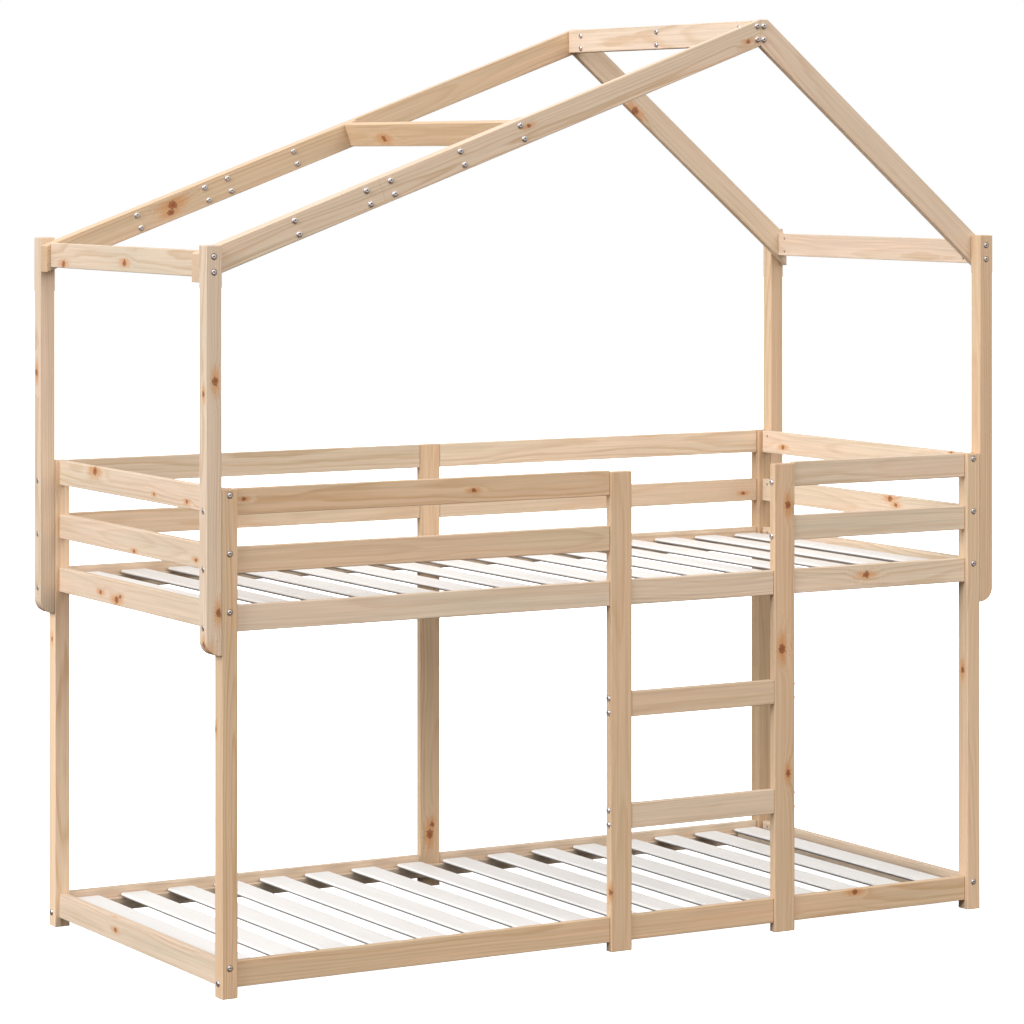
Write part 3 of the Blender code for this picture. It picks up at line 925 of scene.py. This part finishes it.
MIDDLE_SLATS = (0.065, 0.195, 0.325)    # X of the slats that lie wider apart in the middle
SLAT_ENDS = 0.0087          # the outermost slats, in from the base's ends
SLAT_SIDES = 0.0037         # all slats, in from the base's sides
SLAT_CLEAR = 0.0004         # keeps their faces inside the base's
CORNER = 0.009              # rounding of a slat's corners, seen from above
NOSE = 0.0042               # rounding of its edges
UNDER = 1.0                 # how much painted shade a slat's underside gets
EDGE = 0.55                 # how much painted shade its edges get
SUPPORT = 0.018             # thickness of ledgers and battens
BATTEN_SHORT = 0.0366       # both ledgers and the gaps beside them
BATTEN_THIN = 0.001         # a batten is this much less high than a ledger
BATTEN_IN = 0.014           # a batten's middle, in from its slat's edge nearer the bed's middle
SOFTENED = 0.0015           # rounding of their edges


class BED_OT_slats(bpy.types.Operator):
    """The two slatted bases: white slats on pine ledgers and cross battens"""
    bl_idname = "bunk_bed.slats"
    bl_label = "Slatted bases"

    def execute(self, context):
        slats = context.scene.bed_slats
        paint = finish_for("White painted slats", slat_paint, slats)
        pine = finish_for("Planed pine", planed_pine, context.scene.bed_pine)
        for level in ("lower", "upper"):
            self.slats(level, slats, paint)
            self.supports(level, slats, pine)
        return {"FINISHED"}

    def centres(self, level, slats):
        """Slats lie a little wider apart in the middle than towards the ends."""
        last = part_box(level + "_slat_base")[1].x - SLAT_ENDS - slats.width / 2
        outer = slats.count // 2 - len(MIDDLE_SLATS)
        start = MIDDLE_SLATS[-1]
        pitch = (last - start) / outer
        right = [*MIDDLE_SLATS, *(start + pitch * i for i in range(1, outer + 1))]
        return [-x for x in reversed(right)] + right

    def slats(self, level, slats, paint):
        """Bull-nosed slats with rounded ends."""
        _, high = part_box(level + "_slat_base")
        body = bmesh.new()
        grain = body.verts.layers.float_vector.new("grain")
        dice = random.Random(level)
        size = (slats.width, 2 * (high.y - SLAT_SIDES), slats.thickness - SLAT_CLEAR)
        for x in self.centres(level, slats):
            one = block(size)
            upright = [e for e in one.edges if abs(e.verts[0].co.z - e.verts[1].co.z) > 0.001]
            round_off(one, upright, CORNER, 4)
            flat = [e for e in one.edges if abs(e.verts[0].co.z - e.verts[1].co.z) < 1e-5]
            round_off(one, flat, NOSE, 3)
            bmesh.ops.translate(one, vec=(x, 0, high.z - slats.thickness / 2), verts=one.verts)
            mesh = mesh_of("slat", one)
            start = dice.uniform(1, 50)
            for vert in join(body, mesh):
                vert[grain] = Vector((vert.co.y + start, vert.co.x - x, vert.co.z))
            bpy.data.meshes.remove(mesh)
        # painted shade on the faces that turn away from the lamps: the edges and the underside
        shaded = body.faces.layers.float.new("shaded")
        for face in body.faces:
            face.smooth = True
            if face.normal.z < 0.2:
                face[shaded] = UNDER if face.normal.z < -0.15 else EDGE
        obj = new_piece(level + "_slats", body, paint, (level + "_slat_base",))
        obj.data.set_sharp_from_angle(angle=math.radians(60))
        obj.modifiers.new("Flat faces stay flat", "WEIGHTED_NORMAL").keep_sharp = True

    def supports(self, level, slats, pine):
        """Ledgers along the side rails and a batten across under the outermost slats."""
        low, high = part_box(level + "_slat_base")
        depth = high.z - slats.thickness - low.z
        centres = self.centres(level, slats)
        shift = slats.width / 2 - BATTEN_IN
        ledger = (high.x - low.x, SUPPORT, depth)
        batten = (SUPPORT, high.y - low.y - BATTEN_SHORT, depth - BATTEN_THIN)
        for name, size, x, y in (
                ("ledger_front", ledger, 0.0, low.y + SUPPORT / 2),
                ("ledger_back", ledger, 0.0, high.y - SUPPORT / 2),
                ("batten_left", batten, centres[0] + shift, 0.0),
                ("batten_right", batten, centres[-1] - shift, 0.0)):
            bar = block(size)
            round_off(bar, bar.edges[:], SOFTENED, 2)
            bmesh.ops.translate(bar, vec=(x, y, low.z + depth / 2), verts=bar.verts)
            finish_board(level + "_" + name, bar, pine, level + "_" + name)


class BED_OT_bolts(bpy.types.Operator):
    """Button heads and barrel nuts"""
    bl_idname = "bunk_bed.bolts"
    bl_label = "Bolts and nuts"

    def execute(self, context):
        settings = context.scene.bed_bolts
        steel = finish_for("Zinc-plated steel", zinc_steel)
        head = button_head(settings)
        for name, heads in (("leg_bolts", leg_bolts()), ("ladder_bolts", ladder_bolts()),
                            ("roof_bolts", roof_bolts())):
            seated = [(point - out * let_in(point, out, settings.height), out)
                      for board_heads in heads.values() for point, out in board_heads]
            hardware(name, head, seated, steel, name)
        nut = barrel_nut(settings)
        nuts = []
        for holes in (rail_nut_holes(), rung_nut_holes(), tie_nut_holes()):
            for places in holes.values():
                nuts += [(point + way * NUT_DEPTH, -way) for point, way in places]
        # the nuts are painted nearly black, as painted shade inside their holes
        hardware("barrel_nuts", nut, nuts, finish_for("Nut steel darkened as painted shade", nut_steel_with_painted_shade), "nuts")
        bpy.data.meshes.remove(head)
        bpy.data.meshes.remove(nut)
        return {"FINISHED"}


EYE = (-4.7007, -8.1058, 1.8514)    # the camera's place
EYE_TURN = -30              # its turn about the upright axis, in degrees
VIEW_SHIFT = -0.3504        # its lens shift, which keeps upright edges upright
KEY_FROM = (-0.9, -0.1, 0.42)       # where the key light comes from
FRONT_FROM = (0.1, -0.85, 0.5)      # where the front light comes from
COOL = (0.97, 1.03, 1.12)   # tint of the key light
SUN_SIZE = 35               # spread of both lights in degrees, for soft shadows
FLOOR_GLOW = 0.95           # makes the floor white to the camera
FLOOR_BOUNCE = (0.05, 0.027, 0.018)     # its colour to everything but the camera


class BED_OT_stage(bpy.types.Operator):
    """Floor, soft lights and the camera"""
    bl_idname = "bunk_bed.stage"
    bl_label = "Stage"

    def execute(self, context):
        scene = context.scene
        stage = scene.bed_stage
        scene.view_settings.view_transform = "Standard"
        scene.view_settings.look = "None"
        self.floor(stage)
        self.world(scene, stage)
        for name, energy, way, colour in (
                ("Key light", stage.key, KEY_FROM, COOL),
                ("Front light", stage.fill, FRONT_FROM, (1.0, 1.0, 1.0))):
            sun = bpy.data.lights.new(name, "SUN")
            sun.energy = energy
            sun.color = colour
            sun.angle = math.radians(SUN_SIZE)
            lamp = bpy.data.objects.new(name, sun)
            lamp.rotation_euler = Vector(way).to_track_quat("Z", "Y").to_euler()
            scene.collection.objects.link(lamp)
        camera = bpy.data.cameras.new("Camera")
        camera.lens = stage.lens
        camera.sensor_width = 36
        camera.shift_y = VIEW_SHIFT
        camera.clip_end = 200
        eye = bpy.data.objects.new("Camera", camera)
        eye.location = EYE
        eye.rotation_euler = (math.radians(90), 0, math.radians(EYE_TURN))
        scene.collection.objects.link(eye)
        scene.camera = eye
        return {"FINISHED"}

    def floor(self, stage):
        """A wide pale floor."""
        body = bmesh.new()
        bmesh.ops.create_grid(body, x_segments=2, y_segments=2, size=40)
        mesh = mesh_of("floor", body)
        mat, tree, shader = start_material("Pale floor")
        shader.inputs["Roughness"].default_value = 0.9
        shader.inputs["Specular IOR Level"].default_value = 0.0
        shader.inputs["Emission Color"].default_value = (1, 1, 1, 1)
        # the floor looks white but throws little light back up, so undersides stay dark
        seen = add(tree, "ShaderNodeLightPath").outputs["Is Camera Ray"]
        glow = maths(tree, "MULTIPLY", seen, FLOOR_GLOW)
        tree.links.new(glow, shader.inputs["Emission Strength"])
        tree.links.new(mixed(tree, seen, FLOOR_BOUNCE, stage.floor), shader.inputs["Base Color"])
        mesh.materials.append(mat)
        obj = bpy.data.objects.new("floor", mesh)
        bpy.context.scene.collection.objects.link(obj)

    def world(self, scene, stage):
        """White all round; what the camera sees of it is pure white."""
        world = bpy.data.worlds.new("Studio")
        scene.world = world
        world.use_nodes = True
        tree = world.node_tree
        background = tree.nodes["Background"]
        seen = add(tree, "ShaderNodeLightPath").outputs["Is Camera Ray"]
        strength = add(tree, "ShaderNodeMix", {0: seen, 2: stage.sky, 3: 1.0}).outputs[0]
        tree.links.new(strength, background.inputs["Strength"])
        background.inputs["Color"].default_value = (1, 1, 1, 1)


class BED_PT_panel(bpy.types.Panel):
    """The bed's pieces and their settings"""
    bl_label = "Bunk bed"
    bl_idname = "BED_PT_panel"
    bl_space_type = "VIEW_3D"
    bl_region_type = "UI"
    bl_category = "Bunk bed"

    def draw(self, context):
        for operator in OPERATORS:
            self.layout.operator(operator.bl_idname)
        for name in ("bed_pine", "bed_slats", "bed_bolts", "bed_stage"):
            settings = getattr(context.scene, name)
            box = self.layout.box()
            for key in settings.__annotations__:
                box.prop(settings, key)


SETTINGS = {"bed_pine": PineSettings, "bed_slats": SlatSettings, "bed_bolts": BoltSettings,
            "bed_stage": StageSettings}
OPERATORS = (BED_OT_stage, BED_OT_posts, BED_OT_rails, BED_OT_roof, BED_OT_slats, BED_OT_bolts)


def register():
    """Register the settings, operators and panel."""
    for name, group in SETTINGS.items():
        bpy.utils.register_class(group)
        setattr(bpy.types.Scene, name, PointerProperty(type=group))
    for operator in OPERATORS:
        bpy.utils.register_class(operator)
    bpy.utils.register_class(BED_PT_panel)


def unregister():
    """Undo register."""
    bpy.utils.unregister_class(BED_PT_panel)
    for operator in reversed(OPERATORS):
        bpy.utils.unregister_class(operator)
    for name, group in SETTINGS.items():
        delattr(bpy.types.Scene, name)
        bpy.utils.unregister_class(group)


def main():
    """Build everything."""
    register()
    for operator in OPERATORS:
        group, name = operator.bl_idname.split(".")
        getattr(getattr(bpy.ops, group), name)()


if __name__ == "__main__":
    main()
